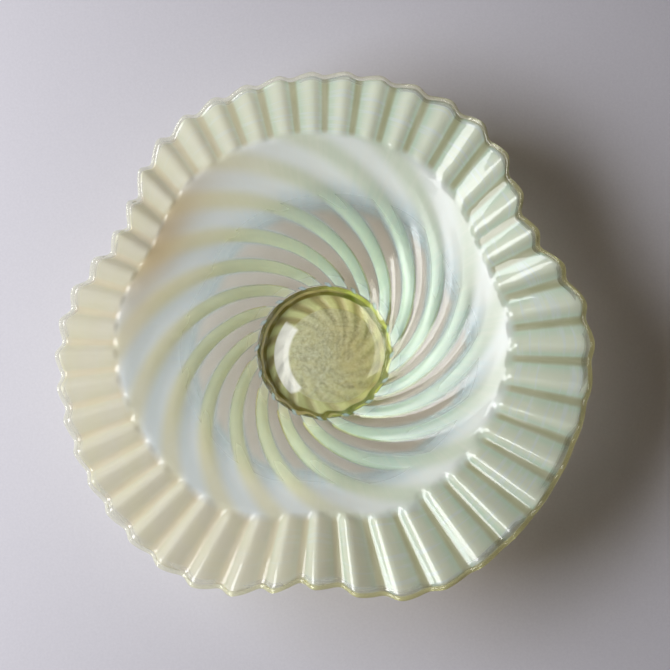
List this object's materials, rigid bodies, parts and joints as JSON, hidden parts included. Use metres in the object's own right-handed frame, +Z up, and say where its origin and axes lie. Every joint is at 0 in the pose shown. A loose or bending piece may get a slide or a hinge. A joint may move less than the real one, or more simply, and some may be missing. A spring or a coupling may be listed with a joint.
{
  "type": "uranium glass dish",
  "caption": "Round uranium glass dish with a crimped, waved opal frill, swirled opal ribs in a clear wall, a clear lip and a ground foot pad.",
  "frame": {"origin": "on the surface the dish stands on, under the middle of its plan", "axes": "+Z up, out of the open bowl; +Y towards the top of the reference view from above"},
  "size_m": [0.2508, 0.2478, 0.0572],
  "materials": {
    "bowl_glass": "polished",
    "rib_glass": "polished",
    "trail_glass": "polished",
    "foot_glass": "ground"
  },
  "bodies": {
    "root": {"bowl": "bowl_glass", "lip_trail": "trail_glass", "foot_pad": "foot_glass", "opal_rib_01": "rib_glass", "opal_rib_02": "rib_glass", "opal_rib_03": "rib_glass", "opal_rib_04": "rib_glass", "opal_rib_05": "rib_glass", "opal_rib_06": "rib_glass", "opal_rib_07": "rib_glass", "opal_rib_08": "rib_glass", "opal_rib_09": "rib_glass", "opal_rib_10": "rib_glass", "opal_rib_11": "rib_glass", "opal_rib_12": "rib_glass", "opal_rib_13": "rib_glass", "opal_rib_14": "rib_glass", "opal_rib_15": "rib_glass", "opal_rib_16": "rib_glass"}
  },
  "joints": []
}
